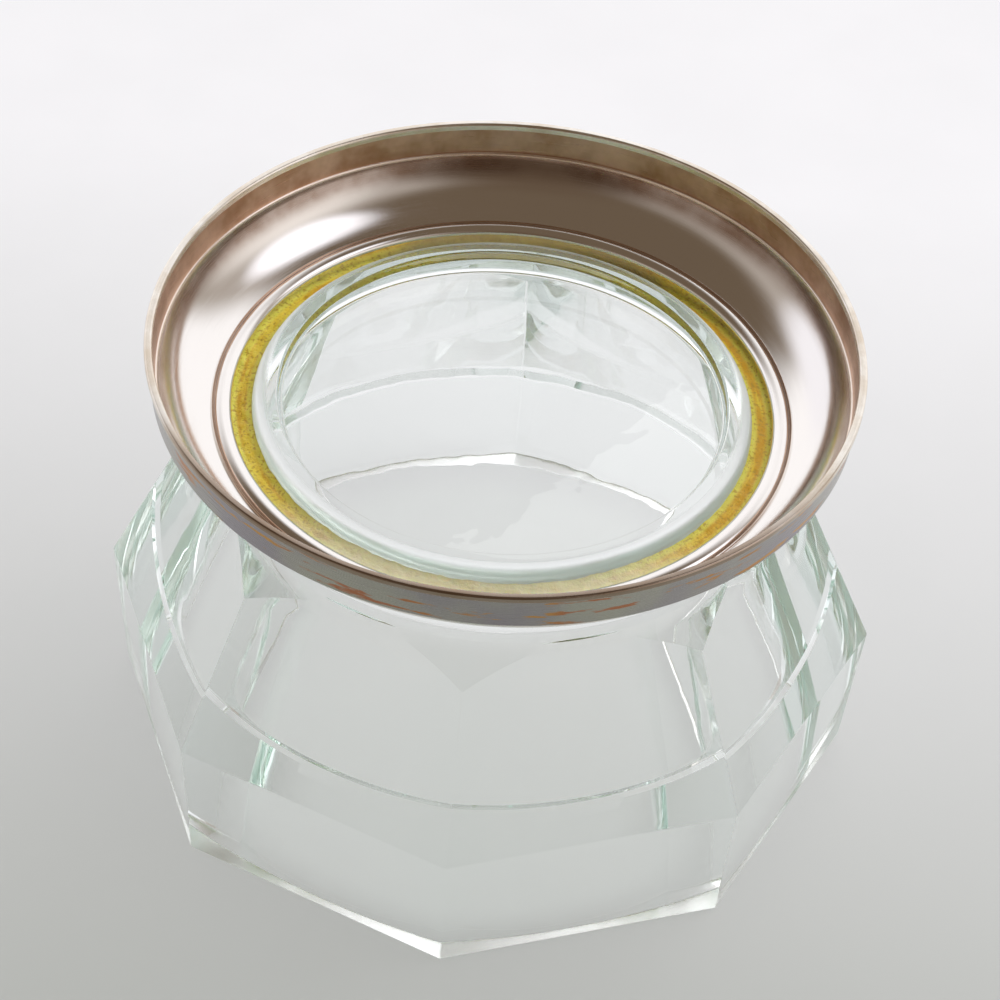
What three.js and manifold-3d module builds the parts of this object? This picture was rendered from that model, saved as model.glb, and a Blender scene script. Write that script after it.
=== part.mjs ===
// Footed glass bowl, turned over on its rim as a bowl stands to dry: the octagonal rim rests on z = 0
// and the metal foot points up. Millimetres, +Z up, with the axis of the bowl on Z and a corner of the
// octagon on -Y.
import * as THREE from "three";
import { mergeVertices } from "three/addons/utils/BufferGeometryUtils.js";
import Module from "manifold-3d";

// Glass, outside: two rows of flat facets, a hollow curve to a round neck, and a boss that carries the foot
const SIDES = 8;
const RIM_ACROSS_CORNERS = 138.8;
const RIM_BEVEL = 0.8;
const BELT_ACROSS_CORNERS = 144;
const BELT_HEIGHT = 27.8;
const SHOULDER_ACROSS_CORNERS = 116.6;
const SHOULDER_HEIGHT = 59;
const NECK_COVE_RADIUS = 6.2;
const LEDGE_HEIGHT = 70.7;
const LEDGE_EDGE_RADIUS = 0.5;
const BOSS_DIAMETER = 93.6;
const BOSS_RISE = 4.8;
const BOSS_EDGE_RADIUS = 1.9;
const LIP_WIDTH = 5.2;
const LIP_INNER_RADIUS = 0.9;
const RECESS_DEPTH = 2;
const RECESS_DRAFT = 0.7;
const RECESS_FILLET = 1.4;

// Glass, inside: a straight wall from the mouth to a crease, a taper beside the upper facets, a flat floor
const MOUTH_DIAMETER = 117;
const MOUTH_EDGE_RADIUS = 1;
const CREASE_HEIGHT = 29.8;
const CREASE_DIAMETER = 112;
const FLOOR_DIAMETER = 88;
const FLOOR_FILLET = 7;
const FLOOR_THICKNESS = 11.5;

// Foot: a domed sheet with a beaded sleeve round the boss, and a band with a rolled standing edge
const SHEET = 0.9;
const FOOT_DIAMETER = 130.6;
const FOOT_HEIGHT = 18.9;
const SLEEVE_HEIGHT = 3.4;
const BAND_HEIGHT = 6.5;
const BAND_LEAN = 0.6;
const BAND_SKIRT = 1.1;
const ROLL_WIDTH = 1.5;
const ROLL_HEIGHT = 1.3;
const ROLL_RADIUS = 0.45;
const BEAD_RADIUS = 1.1;
const DOME_FULLNESS = 0.62;

// Cement between the boss and the sleeve of the foot
const CEMENT_WIDTH = 2.6;
const CEMENT_HEIGHT = 2.2;
const CEMENT_CROWN_RADIUS = 0.9;
const LEDGE_MARGIN = 1.3;

// Fits and fineness
const CLEARANCE = 0.3;
const CUT_OVERRUN = 5;
const SEGMENTS = 64;
const ARC_STEP = Math.PI / 6;
const DOME_STEPS = 6;

// Radii and heights that follow from the sizes above
const bossRadius = BOSS_DIAMETER / 2;
const bossTop = LEDGE_HEIGHT + BOSS_RISE;
const recessRadius = bossRadius - LIP_WIDTH;
const recessHeight = bossTop - RECESS_DEPTH;
const sleeveRadius = bossRadius + CEMENT_WIDTH + 2 * CLEARANCE;
const neckRadius = sleeveRadius + LEDGE_MARGIN;
const floorHeight = recessHeight - FLOOR_THICKNESS;
const footRadius = FOOT_DIAMETER / 2;
const footTop = LEDGE_HEIGHT + FOOT_HEIGHT;
const bandTopRadius = footRadius - ROLL_WIDTH;
const bandRootRadius = bandTopRadius - BAND_LEAN;
const bandRoot = footTop - BAND_HEIGHT;
const seatHeight = LEDGE_HEIGHT + CLEARANCE;

const wasm = await Module();
wasm.setup();

// Outline through corners [radius, height, rounding], with each rounding as an arc that touches both sides.
function roundedOutline(corners) {
  return corners.flatMap(([x, y, rounding = 0], i) => {
    const corner = new THREE.Vector2(x, y);
    const previous = corners[(i + corners.length - 1) % corners.length];
    const next = corners[(i + 1) % corners.length];
    const back = new THREE.Vector2(previous[0], previous[1]).sub(corner).normalize();
    const ahead = new THREE.Vector2(next[0], next[1]).sub(corner).normalize();
    if (rounding === 0) return [corner];
    const half = Math.acos(THREE.MathUtils.clamp(back.dot(ahead), -1, 1)) / 2;
    const bisector = back.clone().add(ahead).normalize();
    const centre = corner.clone().addScaledVector(bisector, rounding / Math.sin(half));
    const from = corner.clone().addScaledVector(back, rounding / Math.tan(half)).sub(centre);
    const to = corner.clone().addScaledVector(ahead, rounding / Math.tan(half)).sub(centre);
    const turn = Math.atan2(from.cross(to), from.dot(to));
    const steps = Math.max(2, Math.ceil(Math.abs(turn) / ARC_STEP));
    return Array.from({ length: steps + 1 }, (_, k) =>
      from.clone().rotateAround(new THREE.Vector2(), (turn * k) / steps).add(centre),
    );
  });
}

// Solid of revolution about Z. An outline off the axis is closed on itself; eight segments give flat sides.
function revolve(outline, segments = SEGMENTS) {
  const onAxis = outline[0].x === 0 && outline.at(-1).x === 0;
  const points = onAxis ? outline : [...outline, outline[0].clone()];
  return new THREE.LatheGeometry(points, segments).rotateX(Math.PI / 2);
}

function solidOf(geometry) {
  geometry.deleteAttribute("normal");
  geometry.deleteAttribute("uv");
  const merged = mergeVertices(geometry, 1e-4);
  const triVerts = [];
  const index = merged.index.array;
  for (let i = 0; i < index.length; i += 3) {
    const [a, b, c] = index.subarray(i, i + 3);
    if (a !== b && b !== c && c !== a) triVerts.push(a, b, c);
  }
  return new wasm.Manifold(
    new wasm.Mesh({
      numProp: 3,
      vertProperties: merged.attributes.position.array,
      triVerts: new Uint32Array(triVerts),
    }),
  );
}

function geometryOf(solid) {
  const { vertProperties, triVerts } = solid.getMesh();
  const geometry = new THREE.BufferGeometry();
  geometry.setAttribute("position", new THREE.BufferAttribute(vertProperties, 3));
  geometry.setIndex(new THREE.BufferAttribute(triVerts, 1));
  geometry.computeVertexNormals();
  return geometry;
}

// Flat-sided block of the two rows of facets. Above the cove it is wide, so that the neck stays round.
function facetedBlock() {
  const rim = RIM_ACROSS_CORNERS / 2;
  const belt = BELT_ACROSS_CORNERS / 2;
  const shoulder = SHOULDER_ACROSS_CORNERS / 2;
  const slope = (belt - shoulder) / (SHOULDER_HEIGHT - BELT_HEIGHT);
  const facetEnd = SHOULDER_HEIGHT + NECK_COVE_RADIUS;
  const blockTop = bossTop + CUT_OVERRUN;
  const outline = [
    [0, 0],
    [rim - RIM_BEVEL, 0],
    [rim, RIM_BEVEL],
    [belt, BELT_HEIGHT],
    [belt - slope * (facetEnd - BELT_HEIGHT), facetEnd],
    [belt, facetEnd],
    [belt, blockTop],
    [0, blockTop],
  ];
  return revolve(outline.map(([r, z]) => new THREE.Vector2(r, z)), SIDES);
}

// Turned form that trims the block: wide below the shoulder, then the cove, the neck, the boss and its recess.
function turnedForm() {
  const wide = BELT_ACROSS_CORNERS / 2 + CUT_OVERRUN;
  return revolve(
    roundedOutline([
      [0, -CUT_OVERRUN],
      [wide, -CUT_OVERRUN],
      [wide, SHOULDER_HEIGHT],
      [neckRadius, SHOULDER_HEIGHT, NECK_COVE_RADIUS],
      [neckRadius, LEDGE_HEIGHT, LEDGE_EDGE_RADIUS],
      [bossRadius, LEDGE_HEIGHT],
      [bossRadius, bossTop, BOSS_EDGE_RADIUS],
      [recessRadius, bossTop, LIP_INNER_RADIUS],
      [recessRadius - RECESS_DRAFT, recessHeight, RECESS_FILLET],
      [0, recessHeight],
    ]),
  );
}

// Hollow of the bowl, from below the rim to its floor, widened at the mouth by a rounded edge.
function hollowForm() {
  const mouth = MOUTH_DIAMETER / 2;
  const throat = mouth + MOUTH_EDGE_RADIUS;
  return revolve(
    roundedOutline([
      [0, -CUT_OVERRUN],
      [throat + CUT_OVERRUN, -CUT_OVERRUN],
      [throat + CUT_OVERRUN, 0],
      [mouth, 0, MOUTH_EDGE_RADIUS],
      [CREASE_DIAMETER / 2, CREASE_HEIGHT],
      [FLOOR_DIAMETER / 2, floorHeight, FLOOR_FILLET],
      [0, floorHeight],
    ]),
  );
}

function glassBowl() {
  const outside = solidOf(facetedBlock()).intersect(solidOf(turnedForm()));
  return geometryOf(outside.subtract(solidOf(hollowForm())));
}

// Domed sheet: a sleeve that stands on the ledge, a bead, then a curve flat at the bead and steep at the band.
function footDome() {
  const dishFloor = seatHeight + SLEEVE_HEIGHT;
  const start = new THREE.Vector2(sleeveRadius + 2 * BEAD_RADIUS, dishFloor);
  const end = new THREE.Vector2(bandRootRadius - CLEARANCE, bandRoot);
  const bend = new THREE.Vector2(
    THREE.MathUtils.lerp(start.x, end.x, DOME_FULLNESS),
    THREE.MathUtils.lerp(end.y, start.y, DOME_FULLNESS),
  ).add(new THREE.Vector2(SHEET, -SHEET));
  const dome = new THREE.QuadraticBezierCurve(start, bend, end);
  const inside = dome.getPoints(DOME_STEPS);
  const outside = inside.map((point, k) => {
    const along = dome.getTangent(k / DOME_STEPS);
    return new THREE.Vector2(point.x + along.y * SHEET, point.y - along.x * SHEET);
  });
  outside.at(-1).x = end.x;
  const beadCentre = new THREE.Vector2(sleeveRadius + BEAD_RADIUS, dishFloor);
  const bead = new THREE.EllipseCurve(
    beadCentre.x, beadCentre.y, BEAD_RADIUS, BEAD_RADIUS, 0, Math.PI, false,
  );
  const beadPoints = bead.getPoints(Math.round(Math.PI / ARC_STEP)).slice(1);
  const sleeve = [
    new THREE.Vector2(sleeveRadius, seatHeight),
    new THREE.Vector2(sleeveRadius + SHEET, seatHeight),
    new THREE.Vector2(sleeveRadius + SHEET, outside[0].y),
  ];
  return revolve([...sleeve, ...outside, ...inside.reverse(), ...beadPoints]);
}

// Band that stands on its rolled edge when the bowl is in use, and takes the dome against its inner face.
function footBand() {
  const skirt = bandRoot - BAND_SKIRT;
  const rollFoot = footTop - ROLL_HEIGHT;
  return revolve(
    roundedOutline([
      [bandRootRadius, skirt],
      [bandRootRadius + SHEET, skirt],
      [bandTopRadius + SHEET, rollFoot],
      [footRadius, rollFoot, ROLL_RADIUS],
      [footRadius, footTop, ROLL_RADIUS],
      [bandTopRadius, footTop, ROLL_RADIUS],
      [bandTopRadius, rollFoot],
    ]),
  );
}

function cementRing() {
  const inner = bossRadius + CLEARANCE;
  const outer = sleeveRadius - CLEARANCE;
  const top = seatHeight + CEMENT_HEIGHT;
  return revolve(
    roundedOutline([
      [inner, seatHeight],
      [outer, seatHeight],
      [outer, top, CEMENT_CROWN_RADIUS],
      [inner, top, CEMENT_CROWN_RADIUS],
    ]),
  );
}

function part(name, geometry, material) {
  const mesh = new THREE.Mesh(geometry, new THREE.MeshStandardMaterial(material));
  mesh.name = name;
  return mesh;
}

const glass = { color: "#eef6f0", roughness: 0.02, metalness: 0, transparent: true, opacity: 0.35 };
const silverPlate = { color: "#bcb0a4", roughness: 0.16, metalness: 1 };
const tarnishedPlate = { color: "#8b7765", roughness: 0.34, metalness: 1 };
const oldCement = { color: "#c9a02e", roughness: 0.75, metalness: 0 };

const bowl = new THREE.Group();
bowl.add(
  part("glass_bowl", glassBowl(), glass),
  part("foot_dome", footDome(), silverPlate),
  part("foot_band", footBand(), tarnishedPlate),
  part("cement_ring", cementRing(), oldCement),
);

export default bowl;
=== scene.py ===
"""Footed glass bowl, turned over on its rim.

Clear faceted glass, a worn silver-plated foot and the amber cement between them.
"""

import math

import bmesh
import bpy
from mathutils import Matrix, Vector, noise


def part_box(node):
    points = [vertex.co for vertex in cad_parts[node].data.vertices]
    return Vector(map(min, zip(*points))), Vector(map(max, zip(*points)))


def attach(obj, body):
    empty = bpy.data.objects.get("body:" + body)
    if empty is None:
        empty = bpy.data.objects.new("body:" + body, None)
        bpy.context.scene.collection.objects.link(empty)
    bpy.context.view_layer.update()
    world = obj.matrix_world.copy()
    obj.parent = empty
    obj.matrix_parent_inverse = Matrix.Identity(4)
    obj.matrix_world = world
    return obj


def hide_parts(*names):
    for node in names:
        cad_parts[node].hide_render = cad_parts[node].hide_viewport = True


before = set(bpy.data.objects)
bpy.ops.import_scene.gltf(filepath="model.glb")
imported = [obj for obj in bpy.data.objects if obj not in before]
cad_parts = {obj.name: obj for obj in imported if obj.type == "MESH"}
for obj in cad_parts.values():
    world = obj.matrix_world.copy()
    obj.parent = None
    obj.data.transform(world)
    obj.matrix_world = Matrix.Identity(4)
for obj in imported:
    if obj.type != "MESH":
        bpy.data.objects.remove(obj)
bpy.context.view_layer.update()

# Sizes read from the frame, in metres
_, glass_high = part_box("glass_bowl")
dome_low, dome_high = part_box("foot_dome")
band_low, band_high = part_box("foot_band")
cement_low, cement_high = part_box("cement_ring")

# Glass, outside
SIDES = 8
RIM_RADIUS = 0.0694
RIM_BEVEL = 0.0008
BELT_RADIUS = glass_high.x
BELT_HEIGHT = 0.0278
SHOULDER_RADIUS = 0.0583
SHOULDER_HEIGHT = 0.059
FACET_END = 0.0652
FACET_EDGE_RADIUS = 0.00025
FACET_EDGE_STEPS = 3
NECK_RADIUS = 0.0513
NECK_COVE_RADIUS = 0.0062
COVE_SLOPE = math.radians(40)
FIT_GAP = 0.0003
LEDGE_HEIGHT = dome_low.z - FIT_GAP
LEDGE_EDGE_RADIUS = 0.0005
BOSS_RADIUS = 0.0457
LIP_RISE = 0.0015
BOSS_TOP = glass_high.z + LIP_RISE
BOSS_EDGE_RADIUS = 0.0028
LIP_WIDTH = 0.0046
LIP_INNER_RADIUS = 0.0006
RECESS_DEPTH = 0.0014
RECESS_DRAFT = 0.0006
RECESS_FILLET = 0.0006

# Glass, inside
MOUTH_RADIUS = 0.0585
MOUTH_EDGE_RADIUS = 0.0002
CREASE_RADIUS = 0.056
CREASE_HEIGHT = 0.0298
CREASE_RIDGE = 0.0001
CREASE_RIDGE_WIDTH = 0.0022
CREASE_SWELL = 0.0014
CREASE_SWELL_REACH = CREASE_RIDGE_WIDTH * 0.3
CREASE_WOBBLE = 0.0005
CREASE_WOBBLE_SIZE = 0.007
CREASE_WOBBLE_REACH = CREASE_RIDGE_WIDTH * 0.6
FLOOR_RADIUS = 0.0446
FLOOR_FILLET = 0.004
FLOOR_HEIGHT = 0.0665
WALL_RIPPLE = 0.00003
WALL_RIPPLE_SIZE = 0.014
WALL_RIPPLE_START = 0.001
WALL_RIPPLE_DIP = 0.5

# Foot
SHEET = 0.0009
SLEEVE_RADIUS = cement_high.x + FIT_GAP
SLEEVE_HEIGHT = 0.0034
DISH_FLOOR = dome_low.z + SLEEVE_HEIGHT
BEAD_WIDTH = 0.0037
BEAD_HEIGHT = 0.0011
BEAD_OVERHANG = 0.0006
BEAD_STEPS = 14
DOME_RADIUS = dome_high.x
DOME_FULLNESS = 0.62
DOME_STEPS = 20
FOOT_RADIUS = band_high.x
FOOT_TOP = band_high.z
BAND_ROOT = dome_high.z
BAND_FOOT = band_low.z
BAND_ROOT_RADIUS = DOME_RADIUS + FIT_GAP
SEAM_LAP = 0.0001
SEAM_EDGE_RADIUS = 0.0004
SEAM_EDGE_STEPS = 6
ROLL_WIDTH = 0.0015
ROLL_HEIGHT = 0.0013
ROLL_RADIUS = 0.00045

# Cement
CEMENT_TOP = 0.0738
CEMENT_CLIMB = 0.0008
CEMENT_SAG = 0.0004
CEMENT_SLUMP = 0.0022
CEMENT_SWELL = 0.0004
CEMENT_SWELL_SIZE = 0.03
CEMENT_LUMPS = 0.0003
CEMENT_LUMP_SIZE = 0.0022
CEMENT_WETTING = 0.00003
CEMENT_STEPS = 16

# Fineness and shading of the meshes
SEGMENTS = 256
CEMENT_SEGMENTS = 512
ARC_STEP = math.radians(9)
WALL_STEP = 0.0025
OVERRUN = 0.005
ON_AXIS = 1e-9
GLASS_FLAT_AREA = 2e-5
GLASS_SHARP_ANGLE = math.radians(18)
METAL_SHARP_ANGLE = math.radians(35)
CEMENT_SHARP_ANGLE = math.radians(50)


# Mesh making

def rounded(corners):
    """Outline through corners (radius, height, rounding). A rounding is an arc that touches both sides."""
    outline = []
    for i, (x, y, *rest) in enumerate(corners):
        corner = Vector((x, y))
        if not rest:
            outline.append(corner)
            continue
        radius = rest[0]
        back = (Vector(corners[i - 1][:2]) - corner).normalized()
        ahead = (Vector(corners[(i + 1) % len(corners)][:2]) - corner).normalized()
        half = math.acos(max(-1, min(1, back.dot(ahead)))) / 2
        centre = corner + (back + ahead).normalized() * radius / math.sin(half)
        start = corner + back * radius / math.tan(half) - centre
        end = corner + ahead * radius / math.tan(half) - centre
        turn = math.atan2(start.x * end.y - start.y * end.x, start.dot(end))
        steps = max(2, math.ceil(abs(turn) / ARC_STEP))
        outline += [centre + Matrix.Rotation(turn * k / steps, 2) @ start for k in range(steps + 1)]
    return outline


def subdivided(outline, step):
    """The same outline with no stretch longer than step."""
    points = []
    for a, b in zip(outline, outline[1:]):
        count = max(1, math.ceil((b - a).length / step))
        points += [a.lerp(b, k / count) for k in range(count)]
    return points + [outline[-1]]


def mesh_object(name, bm):
    bmesh.ops.recalc_face_normals(bm, faces=bm.faces)
    mesh = bpy.data.meshes.new(name)
    bm.to_mesh(mesh)
    bm.free()
    piece = bpy.data.objects.new(name, mesh)
    bpy.context.scene.collection.objects.link(piece)
    return piece


def revolved(name, outline, segments=SEGMENTS):
    """Closed body of revolution about Z. Its first column of points lies on -Y."""
    bm = bmesh.new()
    rows = []
    for point in outline:
        count = 1 if point.x < ON_AXIS else segments
        angles = [2 * math.pi * i / segments - math.pi / 2 for i in range(count)]
        rows.append([bm.verts.new((point.x * math.cos(a), point.x * math.sin(a), point.y)) for a in angles])
    pairs = list(zip(rows, rows[1:]))
    if len(rows[0]) > 1:
        pairs.append((rows[-1], rows[0]))
    for low, high in pairs:
        for i in range(segments):
            j = (i + 1) % segments
            ring = [low[i % len(low)], low[j % len(low)], high[j % len(high)], high[i % len(high)]]
            bm.faces.new(list(dict.fromkeys(ring)))
    return mesh_object(name, bm)


def cut(piece, tool, operation):
    """Trims piece by tool, which is used up."""
    modifier = piece.modifiers.new("cut", "BOOLEAN")
    modifier.operation = operation
    modifier.object = tool
    modifier.solver = "EXACT"
    graph = bpy.context.evaluated_depsgraph_get()
    mesh = bpy.data.meshes.new_from_object(piece.evaluated_get(graph))
    piece.modifiers.clear()
    piece.data = mesh
    bpy.data.objects.remove(tool)


def shade(piece, sharp_angle, flat_area=None):
    """Smooth shading with sharp edges above an angle, and flat shading on faces larger than flat_area."""
    for polygon in piece.data.polygons:
        polygon.use_smooth = flat_area is None or polygon.area < flat_area
    piece.data.set_sharp_from_angle(angle=sharp_angle)


def install(piece, node, slot, *materials):
    """Gives a piece its materials and its place in the frame."""
    piece.data.materials.clear()
    for material in materials:
        piece.data.materials.append(material)
    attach(piece, "root")
    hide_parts(node)


# Node trees

class Nodes:
    """A node tree under construction, with short calls to add and link nodes."""

    def __init__(self, tree):
        self.tree = tree

    def link(self, value, socket):
        """Links a socket to another, or gives it a plain value."""
        if isinstance(value, bpy.types.NodeSocket):
            self.tree.links.new(value, socket)
        else:
            socket.default_value = value

    def node(self, kind, settings=None, **inputs):
        """Adds a node. Its inputs go by name, or by place where they are called _0, _1 and so on."""
        made = self.tree.nodes.new("ShaderNode" + kind)
        for key, value in (settings or {}).items():
            setattr(made, key, value)
        for key, value in inputs.items():
            self.link(value, made.inputs[int(key[1:]) if key[0] == "_" else key])
        return made

    def math(self, operation, *values):
        inputs = {f"_{i}": value for i, value in enumerate(values)}
        return self.node("Math", {"operation": operation}, **inputs).outputs[0]

    def noise(self, vector, scale, detail=3.0, roughness=0.55):
        look = {"Scale": scale, "Detail": detail, "Roughness": roughness}
        return self.node("TexNoise", Vector=vector, **look).outputs[0]

    def ramp(self, value, low, high, to_low=0.0, to_high=1.0, kind="SMOOTHSTEP"):
        """Goes from to_low to to_high while value goes from low to high."""
        made = self.node("MapRange", {"interpolation_type": kind}, Value=value)
        for key, number in (("From Min", low), ("From Max", high), ("To Min", to_low), ("To Max", to_high)):
            made.inputs[key].default_value = number
        return made.outputs[0]

    def mix(self, factor, first, second):
        """Goes from the first colour to the second while factor goes from 0 to 1."""
        made = self.node("Mix", {"data_type": "RGBA"}, Factor=factor)
        colours = [socket for socket in made.inputs if socket.type == "RGBA"]
        self.link(first, colours[0])
        self.link(second, colours[1])
        return next(socket for socket in made.outputs if socket.type == "RGBA")


class Shader(Nodes):
    """A material under construction."""

    def __init__(self, name):
        self.material = bpy.data.materials.new(name)
        self.material.use_nodes = True
        super().__init__(self.material.node_tree)
        self.surface = self.tree.nodes["Principled BSDF"]
        self.output = self.tree.nodes["Material Output"]
        self.coordinates = self.node("TexCoord").outputs["Object"]

    def axes(self):
        """Place of the point along X, Y and Z."""
        return self.node("SeparateXYZ", Vector=self.coordinates).outputs[:]

    def polar(self):
        """Radius, angle and height of the point about the axis of the bowl."""
        across, along, height = self.axes()
        squares = [self.math("MULTIPLY", axis, axis) for axis in (across, along)]
        radius = self.math("SQRT", self.math("ADD", *squares))
        return radius, self.math("ARCTAN2", along, across), height

    def point(self, **parts):
        return self.node("CombineXYZ", **parts).outputs[0]

    def bump(self, height, strength, distance):
        return self.node("Bump", Height=height, Strength=strength, Distance=distance).outputs[0]

    def set(self, **inputs):
        for key, value in inputs.items():
            self.link(value, self.surface.inputs[key.replace("_", " ")])


# Look of the glass
GLASS_IOR = 1.52
GLASS_SURFACE = (1, 1, 1, 1)
GLASS_DEPTH_COLOUR = (0.68, 0.93, 0.84, 1)
GLASS_DEPTH_DENSITY = 4.5
SMUDGE_ROUGHNESS = 0.035
GROUND_ROUGHNESS = 0.3
GROUND_LIP_START = BOSS_RADIUS - 0.0033
GROUND_LIP_FULL = BOSS_RADIUS - 0.0021
GROUND_LIP_HEIGHT = LEDGE_HEIGHT + 0.002
GROUND_RIM_END = 0.0003
GROUND_RIM_FULL = 0.0001


def glass_material():
    """Clear pressed glass: green in depth, with an uneven skin, a few smudges and a ground lip and rim."""
    s = Shader("clear_glass")
    skin = s.noise(s.coordinates, scale=90.0, detail=2.0)
    smears = s.noise(s.coordinates, scale=45.0, detail=5.0, roughness=0.65)
    smudge = s.ramp(smears, 0.52, 0.75, to_high=SMUDGE_ROUGHNESS)
    radius, _, height = s.polar()
    outward = s.ramp(radius, GROUND_LIP_START, GROUND_LIP_FULL)
    lip = s.math("MULTIPLY", outward, s.ramp(height, LEDGE_HEIGHT, GROUND_LIP_HEIGHT))
    ground = s.math("MAXIMUM", lip, s.ramp(height, GROUND_RIM_END, GROUND_RIM_FULL))
    rough = s.math("ADD", smudge, s.math("MULTIPLY", ground, GROUND_ROUGHNESS))
    s.set(Base_Color=GLASS_SURFACE, Roughness=rough, Transmission_Weight=1.0, IOR=GLASS_IOR)
    s.set(Normal=s.bump(skin, strength=0.06, distance=0.0006))
    depth = s.node("VolumeAbsorption", Color=GLASS_DEPTH_COLOUR, Density=GLASS_DEPTH_DENSITY)
    s.link(depth.outputs[0], s.output.inputs["Volume"])
    return s.material


def brushed(s, fineness, length):
    """Fine marks round the axis, left by spinning and polishing."""
    radius, angle, height = s.polar()
    marks = s.point(
        X=s.math("MULTIPLY", radius, fineness),
        Y=s.math("MULTIPLY", angle, length),
        Z=s.math("MULTIPLY", height, fineness),
    )
    return s.noise(marks, scale=1.0, detail=4.0, roughness=0.6)


# Look of the dome
PLATE_COLOUR = (0.88, 0.84, 0.80, 1)
PLATE_EDGE_COLOUR = (0.90, 0.78, 0.68, 1)
PLATE_EDGE_START = BAND_ROOT - 0.0003
TARNISH_START = BAND_ROOT - 0.0048
TARNISH_FULL = BAND_ROOT - 0.0018
TARNISH_ROUGHNESS = 0.16
# The tarnish colour is lighter in front and darker towards the back
TARNISH_NEAR_COLOUR = (0.47, 0.33, 0.24, 1)
TARNISH_NEAR_END = -0.01
TARNISH_FAR_COLOUR = (0.28, 0.17, 0.11, 1)
TARNISH_FAR_START = 0.03


def plate_material():
    """Polished silver plate of the dome, brown with tarnish towards the band, with a bright edge."""
    s = Shader("silver_plate")
    _, along, height = s.axes()
    marks = brushed(s, fineness=9000.0, length=5.0)
    cloud = s.noise(s.coordinates, scale=60.0, detail=4.0, roughness=0.6)
    near_band = s.ramp(height, TARNISH_START, TARNISH_FULL)
    tarnish = s.math("MULTIPLY", near_band, s.ramp(cloud, 0.3, 0.75, to_low=0.5))
    from_front = s.ramp(along, TARNISH_NEAR_END, TARNISH_FAR_START)
    brown = s.mix(from_front, TARNISH_NEAR_COLOUR, TARNISH_FAR_COLOUR)
    plate = s.mix(tarnish, PLATE_COLOUR, brown)
    colour = s.mix(s.ramp(height, PLATE_EDGE_START, BAND_ROOT), plate, PLATE_EDGE_COLOUR)
    polish = s.ramp(marks, 0.3, 0.8, to_low=0.07, to_high=0.2)
    rough = s.math("ADD", polish, s.math("MULTIPLY", tarnish, TARNISH_ROUGHNESS))
    s.set(Base_Color=colour, Metallic=1.0, Roughness=rough)
    s.set(Normal=s.bump(marks, strength=0.05, distance=0.0001))
    return s.material


# Look of the band
INSIDE_BROWN = (0.44, 0.25, 0.15, 1)
INSIDE_TAN = (0.80, 0.57, 0.44, 1)
OUTSIDE_GREENISH = (0.49, 0.48, 0.42, 1)
OUTSIDE_PURPLISH = (0.40, 0.37, 0.40, 1)
COPPER_RED = (0.52, 0.22, 0.12, 1)
COPPER_YELLOW = (0.66, 0.36, 0.12, 1)
STREAKS_AROUND = 5.0
STREAKS_UP = 620.0
ROLL_TAN = (0.74, 0.64, 0.52, 1)
ROLL_BRIGHT = (0.95, 0.91, 0.84, 1)
ROLL_DARK = (0.28, 0.19, 0.13, 1)
ROLL_DARK_START = -0.02
ROLL_DARK_FULL = -0.05
ROLL_DARK_SHARE = 0.8


def band_inside_material():
    """Inner face of the band: brown tarnish with brushing round the axis."""
    s = Shader("tarnished_plate_inside")
    marks = brushed(s, fineness=7000.0, length=6.0)
    cloud = s.noise(s.coordinates, scale=70.0, detail=4.0, roughness=0.6)
    brown = s.mix(s.ramp(cloud, 0.3, 0.7), INSIDE_BROWN, INSIDE_TAN)
    rough = s.ramp(marks, 0.25, 0.8, to_low=0.26, to_high=0.42)
    s.set(Base_Color=brown, Metallic=1.0, Roughness=rough)
    s.set(Normal=s.bump(marks, strength=0.12, distance=0.0001))
    return s.material


def band_outside_material():
    """Outer face of the band: grey plate with tinted tarnish, worn through to copper in streaks."""
    s = Shader("tarnished_plate_outside")
    _, angle, height = s.polar()
    marks = brushed(s, fineness=7000.0, length=6.0)
    around = s.math("MULTIPLY", angle, STREAKS_AROUND)
    streaks = s.point(X=around, Y=s.math("MULTIPLY", height, STREAKS_UP))
    wear = s.noise(streaks, scale=1.0, detail=5.0, roughness=0.62)
    tint = s.noise(s.coordinates, scale=38.0)
    grey = s.mix(s.ramp(tint, 0.35, 0.65), OUTSIDE_GREENISH, OUTSIDE_PURPLISH)
    copper = s.mix(s.ramp(tint, 0.4, 0.6), COPPER_RED, COPPER_YELLOW)
    colour = s.mix(s.ramp(wear, 0.56, 0.62), grey, copper)
    rough = s.ramp(marks, 0.25, 0.8, to_low=0.2, to_high=0.36)
    s.set(Base_Color=colour, Metallic=1.0, Roughness=rough)
    s.set(Normal=s.bump(marks, strength=0.1, distance=0.0001))
    return s.material


def roll_material():
    """Rolled standing edge: bright where it has been rubbed by use, dark brown on the near side."""
    s = Shader("rolled_edge")
    marks = brushed(s, fineness=6000.0, length=8.0)
    rub = s.noise(s.coordinates, scale=120.0, detail=4.0)
    rubbed = s.mix(s.ramp(rub, 0.25, 0.75), ROLL_TAN, ROLL_BRIGHT)
    _, along, _ = s.axes()
    near = s.ramp(along, ROLL_DARK_START, ROLL_DARK_FULL, to_high=ROLL_DARK_SHARE)
    rough = s.ramp(marks, 0.25, 0.8, to_low=0.16, to_high=0.3)
    s.set(Base_Color=s.mix(near, rubbed, ROLL_DARK), Metallic=1.0, Roughness=rough)
    return s.material


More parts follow.
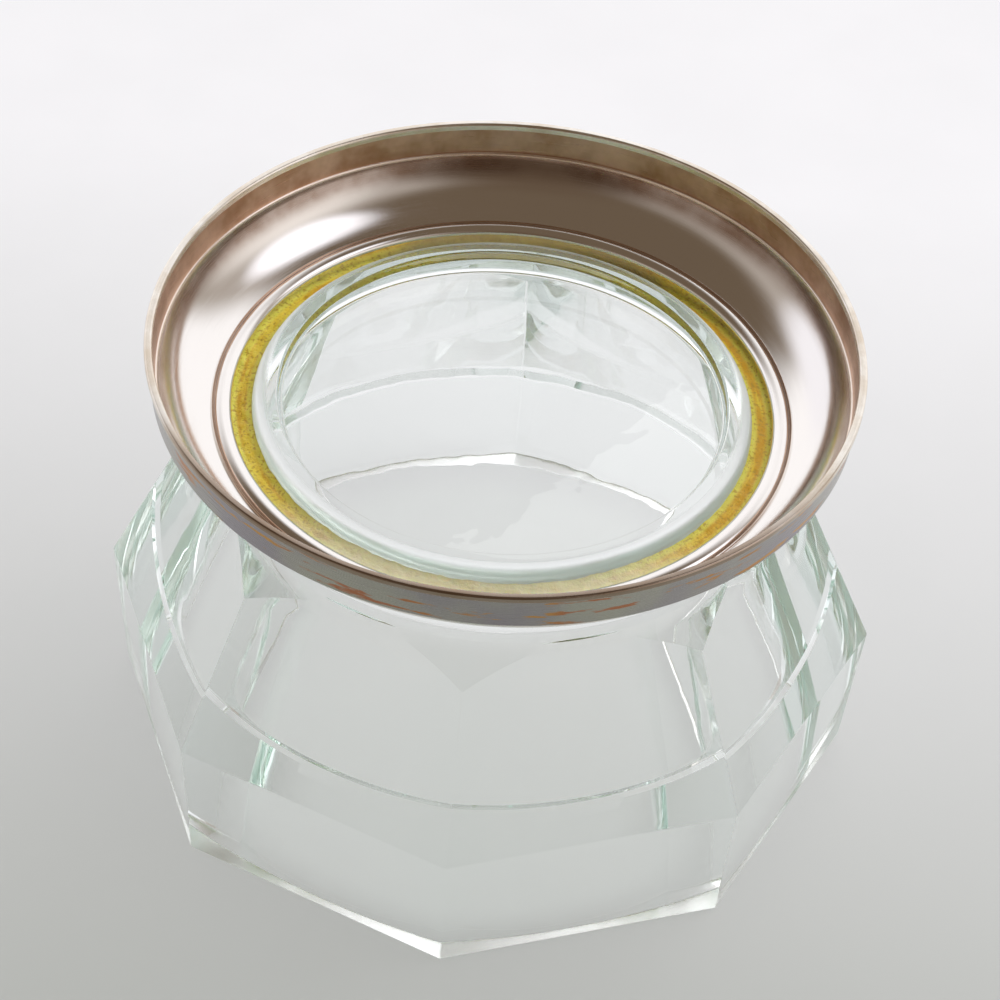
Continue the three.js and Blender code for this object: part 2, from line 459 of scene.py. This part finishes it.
# Look of the cement
AMBER = (0.98, 0.77, 0.08, 1)
AMBER_BURNT = (0.78, 0.45, 0.03, 1)
AMBER_EDGE = (0.95, 0.88, 0.16, 1)
AMBER_GRAIN = (0.94, 0.82, 0.20, 1)
AMBER_PIT = (0.55, 0.34, 0.03, 1)
# Painted light: the cement is paler in front
AMBER_NEAR_PAINTED_LIGHT = (1.0, 1.0, 0.72, 1)
# Painted shade: the cement is greyer at the back
AMBER_FAR_PAINTED_SHADE = (0.48, 0.45, 0.27, 1)
CEMENT_MIDDLE_RADIUS = BOSS_RADIUS + 0.0019
CEMENT_EDGE_START = 0.0004
CEMENT_EDGE_FULL = 0.0014
CEMENT_BURNT_START = 0.02
CEMENT_BURNT_FULL = 0.046
CEMENT_PAINTED_LIGHT_START = -0.026
CEMENT_PAINTED_LIGHT_FULL = -0.045
CEMENT_PAINTED_SHADE_START = 0.040
CEMENT_PAINTED_SHADE_FULL = 0.0455
CEMENT_GLOW_DEPTH = 0.0012
CEMENT_GLOW_REACH = (1.0, 0.7, 0.15)


def cement_streaks(s, radius, angle, height):
    """Streaks of the cement, long round the axis."""
    place = s.point(
        X=s.math("MULTIPLY", angle, 6.0),
        Y=s.math("MULTIPLY", radius, 900.0),
        Z=s.math("MULTIPLY", height, 500.0),
    )
    return s.noise(place, scale=1.0, detail=4.0, roughness=0.6)


def cement_material():
    """Old amber cement: streaky and grainy, redder at the right, with painted light that makes it paler in
    front and painted shade that makes it greyer at the back.
    """
    s = Shader("cement")
    radius, angle, height = s.polar()
    grain = s.noise(s.coordinates, scale=1500.0, detail=3.0, roughness=0.6)
    streak = cement_streaks(s, radius, angle, height)
    across, along, _ = s.axes()
    at_right = s.ramp(across, CEMENT_BURNT_START, CEMENT_BURNT_FULL, to_high=0.12)
    burnt = s.math("ADD", streak, at_right)
    amber = s.mix(s.ramp(burnt, 0.42, 0.66), AMBER, AMBER_BURNT)
    off_middle = s.math("ABSOLUTE", s.math("SUBTRACT", radius, CEMENT_MIDDLE_RADIUS))
    edged = s.mix(s.ramp(off_middle, CEMENT_EDGE_START, CEMENT_EDGE_FULL), amber, AMBER_EDGE)
    grained = s.mix(s.ramp(grain, 0.55, 0.75, to_high=0.5), edged, AMBER_GRAIN)
    pitted = s.mix(s.ramp(grain, 0.47, 0.36, to_high=0.7), grained, AMBER_PIT)
    # Painted light, paler in front
    painted_light_front = s.ramp(along, CEMENT_PAINTED_LIGHT_START, CEMENT_PAINTED_LIGHT_FULL, to_high=0.85)
    near = s.mix(painted_light_front, pitted, AMBER_NEAR_PAINTED_LIGHT)
    # Painted shade, greyer at the back
    painted_shade_back = s.ramp(along, CEMENT_PAINTED_SHADE_START, CEMENT_PAINTED_SHADE_FULL, to_high=0.75)
    rough = s.ramp(grain, 0.3, 0.7, to_low=0.28, to_high=0.6)
    s.set(Base_Color=s.mix(painted_shade_back, near, AMBER_FAR_PAINTED_SHADE), Roughness=rough)
    s.set(Subsurface_Weight=0.4, Subsurface_Scale=CEMENT_GLOW_DEPTH, Subsurface_Radius=CEMENT_GLOW_REACH)
    s.set(Normal=s.bump(grain, strength=0.9, distance=0.0002))
    return s.material


# Glass

def softened(edge):
    """Whether an edge is one between the facets or round the belt."""
    heights = [vertex.co.z for vertex in edge.verts]
    return max(heights) > RIM_BEVEL * 1.5 and min(heights) < BELT_HEIGHT * 1.01


def faceted_block():
    """Flat-sided block of the glass with softened edges, left wide above the facets for the turned form."""
    slope = (BELT_RADIUS - SHOULDER_RADIUS) / (SHOULDER_HEIGHT - BELT_HEIGHT)
    top = BOSS_TOP + OVERRUN
    levels = [
        (RIM_RADIUS - RIM_BEVEL, 0),
        (RIM_RADIUS, RIM_BEVEL),
        (BELT_RADIUS, BELT_HEIGHT),
        (BELT_RADIUS - slope * (FACET_END - BELT_HEIGHT), FACET_END),
        (BELT_RADIUS, FACET_END),
        (BELT_RADIUS, top),
    ]
    outline = [Vector((0, 0)), *(Vector(level) for level in levels), Vector((0, top))]
    block = revolved("glass_bowl_clear", outline, SIDES)
    bm = bmesh.new()
    bm.from_mesh(block.data)
    bmesh.ops.dissolve_limit(bm, angle_limit=math.radians(1), verts=bm.verts, edges=bm.edges)
    bmesh.ops.bevel(
        bm,
        geom=[edge for edge in bm.edges if softened(edge)],
        offset=FACET_EDGE_RADIUS,
        segments=FACET_EDGE_STEPS,
        profile=0.5,
        affect="EDGES",
        clamp_overlap=True,
    )
    bm.to_mesh(block.data)
    bm.free()
    return block


def turned_form():
    """Round form that trims the block: a cone and cove to the neck, the ledge, the boss and its recess."""
    wide = BELT_RADIUS + OVERRUN
    slope = math.tan(COVE_SLOPE)
    recess_radius = BOSS_RADIUS - LIP_WIDTH
    recess_height = BOSS_TOP - RECESS_DEPTH
    return revolved("turned_form", rounded([
        (0, -OVERRUN),
        (wide, -OVERRUN),
        (wide, SHOULDER_HEIGHT - (wide - SHOULDER_RADIUS) * slope),
        (NECK_RADIUS, SHOULDER_HEIGHT + (SHOULDER_RADIUS - NECK_RADIUS) * slope, NECK_COVE_RADIUS),
        (NECK_RADIUS, LEDGE_HEIGHT, LEDGE_EDGE_RADIUS),
        (BOSS_RADIUS, LEDGE_HEIGHT),
        (BOSS_RADIUS, BOSS_TOP, BOSS_EDGE_RADIUS),
        (recess_radius, BOSS_TOP, LIP_INNER_RADIUS),
        (recess_radius - RECESS_DRAFT, recess_height, RECESS_FILLET),
        (0, recess_height),
    ]))


def press_unevenly(vertex):
    """Shifts a point of the hollow: a faint ripple, and a wavy ridge at the crease that fades in front."""
    place = vertex.co.copy()
    inward = Vector((-place.x, -place.y, -place.z * WALL_RIPPLE_DIP)).normalized()
    vertex.co += inward * WALL_RIPPLE * noise.noise(place / WALL_RIPPLE_SIZE)
    from_crease = abs(place.z - CREASE_HEIGHT)
    if from_crease < CREASE_SWELL_REACH:
        front = max(0, -place.y / CREASE_RADIUS)
        vertex.co += inward * CREASE_SWELL * (1 - front ** 2)
    if from_crease < CREASE_WOBBLE_REACH:
        around = Vector((place.x, place.y, 0)) / CREASE_WOBBLE_SIZE
        far = max(0, place.y / CREASE_RADIUS)
        vertex.co.z += CREASE_WOBBLE * far * noise.fractal(around, 1.0, 2.0, 3)


def hollow_form():
    """Hollow of the bowl, with the slight unevenness that a pressed inside has."""
    wide = MOUTH_RADIUS + MOUTH_EDGE_RADIUS + OVERRUN
    hollow = revolved("hollow_form", subdivided(rounded([
        (0, -OVERRUN),
        (wide, -OVERRUN),
        (wide, 0),
        (MOUTH_RADIUS, 0, MOUTH_EDGE_RADIUS),
        (CREASE_RADIUS, CREASE_HEIGHT - CREASE_RIDGE_WIDTH / 2),
        (CREASE_RADIUS - CREASE_RIDGE, CREASE_HEIGHT, CREASE_RIDGE_WIDTH / 4),
        (CREASE_RADIUS - CREASE_RIDGE / 2, CREASE_HEIGHT + CREASE_RIDGE_WIDTH / 2),
        (FLOOR_RADIUS, FLOOR_HEIGHT, FLOOR_FILLET),
        (0, FLOOR_HEIGHT),
    ]), WALL_STEP))
    for vertex in hollow.data.vertices:
        if vertex.co.z >= WALL_RIPPLE_START:
            press_unevenly(vertex)
    return hollow


def make_glass():
    piece = faceted_block()
    cut(piece, turned_form(), "INTERSECT")
    cut(piece, hollow_form(), "DIFFERENCE")
    shade(piece, GLASS_SHARP_ANGLE, GLASS_FLAT_AREA)
    install(piece, "glass_bowl", "clear_glass", glass_material())


# Foot

def dome_outlines():
    """Inner and outer line of the dome, from its bead to the band."""
    start = Vector((SLEEVE_RADIUS - BEAD_OVERHANG + BEAD_WIDTH, DISH_FLOOR))
    end = Vector((DOME_RADIUS, BAND_ROOT))
    bend = Vector((
        start.x + (end.x - start.x) * DOME_FULLNESS + SHEET,
        end.y + (start.y - end.y) * DOME_FULLNESS - SHEET,
    ))
    inside, outside = [], []
    for k in range(DOME_STEPS + 1):
        t = k / DOME_STEPS
        point = start * (1 - t) ** 2 + bend * 2 * t * (1 - t) + end * t ** 2
        along = ((bend - start) * (1 - t) + (end - bend) * t).normalized()
        inside.append(point)
        outside.append(Vector((point.x + along.y * SHEET, point.y - along.x * SHEET)))
    outside[-1].x = end.x
    return inside, outside


def bead_outline():
    """Half ellipse of the bead, from the dome to the hole, and the start of the sleeve under it."""
    middle = SLEEVE_RADIUS - BEAD_OVERHANG + BEAD_WIDTH / 2
    turns = [math.pi * k / BEAD_STEPS for k in range(1, BEAD_STEPS + 1)]
    bead = [
        Vector((middle + BEAD_WIDTH / 2 * math.cos(a), DISH_FLOOR + BEAD_HEIGHT * math.sin(a)))
        for a in turns
    ]
    return [*bead, Vector((SLEEVE_RADIUS, DISH_FLOOR - BEAD_OVERHANG))]


def make_dome():
    inside, outside = dome_outlines()
    sleeve = [
        Vector((SLEEVE_RADIUS, dome_low.z)),
        Vector((SLEEVE_RADIUS + SHEET, dome_low.z)),
        Vector((SLEEVE_RADIUS + SHEET, outside[0].y)),
    ]
    tip = BAND_ROOT_RADIUS + SEAM_LAP
    edge_centre = Vector((BAND_ROOT_RADIUS, BAND_ROOT))
    turns = [math.pi * k / SEAM_EDGE_STEPS for k in range(2, SEAM_EDGE_STEPS + 1)]
    edge = [edge_centre + SEAM_EDGE_RADIUS * Vector((math.cos(a), math.sin(a))) for a in turns]
    seam = [Vector((tip, outside[-1].y)), Vector((tip, edge[0].y)), *edge]
    outline = [*sleeve, *outside[:-1], *seam, *reversed(inside[:-1]), *bead_outline()]
    piece = revolved("foot_dome_plate", outline)
    shade(piece, METAL_SHARP_ANGLE)
    install(piece, "foot_dome", "silver_plate", plate_material())


def make_band():
    top_radius = FOOT_RADIUS - ROLL_WIDTH
    roll_foot = FOOT_TOP - ROLL_HEIGHT
    piece = revolved("foot_band_plate", rounded([
        (BAND_ROOT_RADIUS, BAND_FOOT),
        (BAND_ROOT_RADIUS + SHEET, BAND_FOOT),
        (top_radius + SHEET, roll_foot),
        (FOOT_RADIUS, roll_foot, ROLL_RADIUS),
        (FOOT_RADIUS, FOOT_TOP, ROLL_RADIUS),
        (top_radius, FOOT_TOP, ROLL_RADIUS),
        (top_radius, roll_foot),
    ]))
    shade(piece, METAL_SHARP_ANGLE)
    materials = [band_inside_material(), band_outside_material(), roll_material()]
    install(piece, "foot_band", "tarnished_plate", *materials)
    inside, outside, roll = range(len(materials))
    for polygon in piece.data.polygons:
        facing = polygon.normal.x * polygon.center.x + polygon.normal.y * polygon.center.y
        side = outside if facing > 0 else inside
        polygon.material_index = roll if polygon.center.z > roll_foot else side


# Cement

def lump(vertex):
    """Lifts or lowers a point of the cement's top, which is lumpy and low at the back."""
    place = vertex.co.copy()
    swell = CEMENT_SWELL * noise.noise(Vector((place.x, place.y, 0)) / CEMENT_SWELL_SIZE)
    lumps = CEMENT_LUMPS * noise.fractal(place / CEMENT_LUMP_SIZE, 1.0, 2.0, 3)
    back = max(0, place.y / BOSS_RADIUS) ** 3
    vertex.co.z += swell + lumps - CEMENT_SLUMP * back


def make_cement():
    """Ring of cement, wetted onto the glass and the sleeve. Its top climbs the glass."""
    inner = BOSS_RADIUS - CEMENT_WETTING
    outer = SLEEVE_RADIUS + CEMENT_WETTING
    low = LEDGE_HEIGHT - CEMENT_WETTING
    top = []
    for k in range(CEMENT_STEPS + 1):
        inward = k / CEMENT_STEPS
        height = CEMENT_TOP + CEMENT_CLIMB * inward ** 3 - CEMENT_SAG
        top.append(Vector((outer + (inner - outer) * inward, height)))
    outline = [Vector((inner, low)), Vector((outer, low)), *top]
    piece = revolved("cement_ring_amber", outline, CEMENT_SEGMENTS)
    for vertex in piece.data.vertices:
        if vertex.co.z > cement_low.z:
            lump(vertex)
    shade(piece, CEMENT_SHARP_ANGLE)
    install(piece, "cement_ring", "cement", cement_material())


# Table top
TABLE_DROP = 0.0003
TABLE_SIZE = 4.0
TABLE_GLOW = 0.7
# Painted shade: the table darkens from the far side towards the near side
TABLE_NEAR = -0.15
TABLE_FAR = 0.16
TABLE_NEAR_SHADE_COLOUR = (0.43, 0.45, 0.415, 1)
TABLE_FAR_LIT_COLOUR = (0.98, 0.975, 1.0, 1)
TABLE_SPECK_COLOUR = (0.60, 0.62, 0.62, 1)
# Painted light: a pool of light on the table under the glass
PAINTED_POOL_COLOUR = (0.96, 1.0, 0.97, 1)
PAINTED_POOL_SHARE = 0.24
PAINTED_POOL_RADIUS = MOUTH_RADIUS * 0.8


def table_material():
    """Pale table top with painted shade that darkens it towards the near side and a painted pool of light
    under the glass. It glows with its own colour.
    """
    s = Shader("table_top")
    _, along, _ = s.axes()
    # Painted shade along the table, darker towards the near side
    depth = s.ramp(along, TABLE_NEAR, TABLE_FAR, kind="LINEAR")
    pale = s.mix(depth, TABLE_NEAR_SHADE_COLOUR, TABLE_FAR_LIT_COLOUR)
    radius, _, _ = s.polar()
    # Painted pool of light on the table under the glass
    painted_pool = s.ramp(radius, MOUTH_RADIUS, PAINTED_POOL_RADIUS, to_high=PAINTED_POOL_SHARE)
    lit = s.mix(painted_pool, pale, PAINTED_POOL_COLOUR)
    speck = s.noise(s.coordinates, scale=30.0)
    colour = s.mix(s.ramp(speck, 0.3, 0.7, to_high=0.05), lit, TABLE_SPECK_COLOUR)
    rough = s.ramp(speck, 0.3, 0.7, to_low=0.42, to_high=0.55)
    s.set(Base_Color=colour, Roughness=rough, Specular_IOR_Level=0.3)
    rays = s.node("LightPath").outputs
    seen = s.math("MAXIMUM", rays["Is Camera Ray"], rays["Is Glossy Ray"])
    seen = s.math("MAXIMUM", seen, rays["Is Transmission Ray"])
    glow = s.node("Emission", Color=colour, Strength=1.0).outputs[0]
    share = s.math("MULTIPLY", seen, TABLE_GLOW)
    both = s.node("MixShader", _0=share, _1=s.surface.outputs[0], _2=glow).outputs[0]
    s.link(both, s.output.inputs["Surface"])
    return s.material


def make_table():
    bm = bmesh.new()
    bmesh.ops.create_grid(bm, x_segments=1, y_segments=1, size=TABLE_SIZE / 2)
    table = mesh_object("table_top", bm)
    table.location.z = -TABLE_DROP
    table.data.materials.append(table_material())


# Patches of the surroundings: heading, radius and softness in degrees, colour
ROOM_COLOUR = (0.46, 0.41, 0.37, 1)
PATCHES = {
    "table": ((0, 0, -1), 82, 6, (0.85, 0.85, 0.86, 1)),
    "backdrop": ((0, 1, 0.1), 54, 6, (1.12, 1.12, 1.15, 1)),
    "dark overhead": ((-0.15, -0.05, 0.99), 44, 9, (0.15, 0.11, 0.075, 1)),
    "pale wall at the right": ((1, -0.2, 0.25), 27, 12, (1.0, 0.95, 0.92, 1)),
    "pale wall at the left": ((-0.8, 0.48, 0.3), 17, 8, (1.05, 1.05, 1.12, 1)),
    "dark near side": ((0, -1, 0.5), 28, 12, (0.13, 0.09, 0.06, 1)),
    "window": ((0.6, 0.13, 0.79), 14, 5, (1.4, 1.4, 1.5, 1)),
}


def make_world():
    """Surroundings in one plain colour, with each soft patch laid over those before it."""
    world = bpy.data.worlds.new("surroundings")
    bpy.context.scene.world = world
    world.use_nodes = True
    n = Nodes(world.node_tree)
    direction = n.node("TexCoord").outputs["Generated"]
    colour = ROOM_COLOUR
    for heading, radius, soft, patch_colour in PATCHES.values():
        middle = Vector(heading).normalized()
        toward = n.node("VectorMath", {"operation": "DOT_PRODUCT"}, _0=direction, _1=middle)
        outer = math.cos(math.radians(radius + soft))
        inner = math.cos(math.radians(radius - soft))
        share = n.ramp(toward.outputs["Value"], outer, inner)
        colour = n.mix(share, colour, patch_colour)
    background = n.tree.nodes["Background"]
    n.link(colour, background.inputs["Color"])
    n.link(1.0, background.inputs["Strength"])


# Daylight from above, behind and to the right
DAYLIGHT_PLACE = Vector((0.55, 0.5, 1.1))
DAYLIGHT_TARGET = Vector((0, 0, 0.05))
DAYLIGHT_SIZE = 1.6
DAYLIGHT_POWER = 10


def make_daylight():
    """Broad light that no glossy surface mirrors."""
    light = bpy.data.lights.new("daylight", "AREA")
    light.size = DAYLIGHT_SIZE
    light.energy = DAYLIGHT_POWER
    lamp = bpy.data.objects.new("daylight", light)
    bpy.context.scene.collection.objects.link(lamp)
    lamp.location = DAYLIGHT_PLACE
    lamp.rotation_euler = (DAYLIGHT_TARGET - DAYLIGHT_PLACE).to_track_quat("-Z", "Y").to_euler()
    lamp.visible_glossy = False


# Camera, as fitted to the corners and round edges in the photograph's 1000 by 1000 frame
CAMERA_FOCAL_PIXELS = 4502
CAMERA_FRAME_PIXELS = 1000
CAMERA_SENSOR_WIDTH = 36
CAMERA_ELEVATION = 0.751
CAMERA_AZIMUTH = 0.057
CAMERA_ROLL = 0.074
CAMERA_DISTANCE = 0.8727
CAMERA_AIM_RIGHT = 0.0036
CAMERA_AIM_UP = 0.03744


def make_camera():
    ahead = Vector((0, math.cos(CAMERA_ELEVATION), -math.sin(CAMERA_ELEVATION)))
    level = Vector((1, 0, 0))
    above = level.cross(ahead)
    right = math.cos(CAMERA_ROLL) * level + math.sin(CAMERA_ROLL) * above
    up = math.cos(CAMERA_ROLL) * above - math.sin(CAMERA_ROLL) * level
    pose = Matrix((right, up, -ahead)).transposed().to_4x4()
    pose.translation = right * CAMERA_AIM_RIGHT + up * CAMERA_AIM_UP - ahead * CAMERA_DISTANCE
    camera = bpy.data.cameras.new("camera")
    camera.sensor_width = CAMERA_SENSOR_WIDTH
    camera.lens = camera.sensor_width * CAMERA_FOCAL_PIXELS / CAMERA_FRAME_PIXELS
    holder = bpy.data.objects.new("camera", camera)
    bpy.context.scene.collection.objects.link(holder)
    holder.matrix_world = Matrix.Rotation(CAMERA_AZIMUTH, 4, "Z") @ pose
    bpy.context.scene.camera = holder


# Turns that light may take through the glass
MOST_BOUNCES = 48
MOST_GLOSSY_BOUNCES = 40
MOST_TRANSMISSION_BOUNCES = 48


def set_light_paths():
    light_paths = bpy.context.scene.cycles
    light_paths.max_bounces = MOST_BOUNCES
    light_paths.glossy_bounces = MOST_GLOSSY_BOUNCES
    light_paths.transmission_bounces = MOST_TRANSMISSION_BOUNCES


make_glass()
make_dome()
make_band()
make_cement()
make_table()
make_world()
make_daylight()
make_camera()
set_light_paths()
bpy.context.scene.view_settings.view_transform = "Standard"
